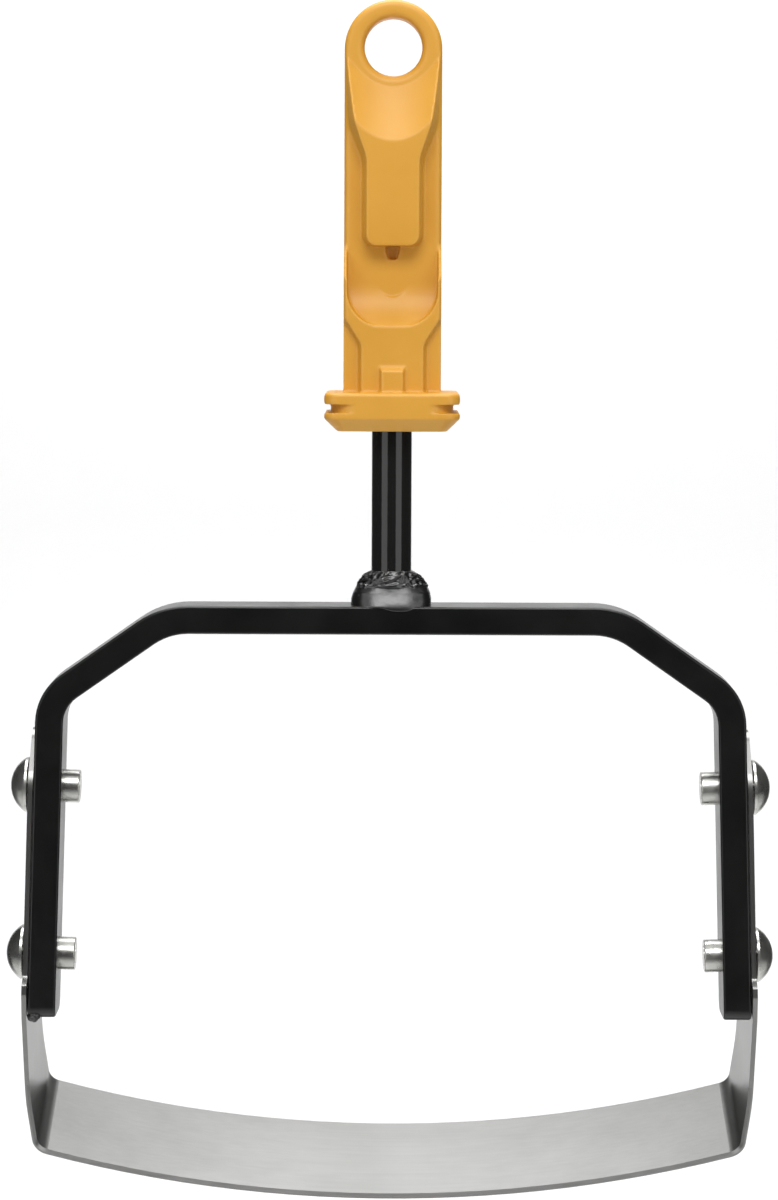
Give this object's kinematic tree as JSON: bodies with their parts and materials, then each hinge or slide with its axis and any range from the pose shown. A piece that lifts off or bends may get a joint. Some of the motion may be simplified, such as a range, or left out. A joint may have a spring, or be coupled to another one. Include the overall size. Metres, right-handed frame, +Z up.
{
  "type": "stirrup hoe head",
  "caption": "Stirrup hoe head: snap-in connector plug and welded rod carry a bent bar bracket, whose legs hold a rocking U-shaped double-edged blade on domed pins.",
  "frame": {"origin": "middle of the connector collar's top face, on the plug axis, where the handle's mouth comes to rest", "axes": "+Z up along the plug towards the handle, +X to the right along the blade, +Y to the back (the blade's cutting edges face -Y and +Y)"},
  "size_m": [0.1932, 0.058, 0.3041],
  "materials": {
    "orange_plastic": "moulded, satin",
    "black_paint": "gloss black powder coat",
    "blade_steel": "satin rolled strip",
    "pin_steel": "bright zinc plated"
  },
  "bodies": {
    "head": {"connector_plug": "orange_plastic", "shank_rod": "black_paint", "weld_bead": "black_paint", "bracket": "black_paint", "pivot_rivet_left": "pin_steel", "pivot_rivet_right": "pin_steel", "stop_rivet_left": "pin_steel", "stop_rivet_right": "pin_steel", "pivot_collar_left": "pin_steel", "pivot_collar_right": "pin_steel", "stop_collar_left": "pin_steel", "stop_collar_right": "pin_steel"},
    "blade": {"stirrup_blade": "blade_steel"}
  },
  "joints": [
    {"name": "blade_swing", "type": "hinge", "parent": "head", "child": "blade", "pos_m": [0, 0, -0.1415], "axis": [1, 0, 0], "range_deg": [0, 8]}
  ]
}
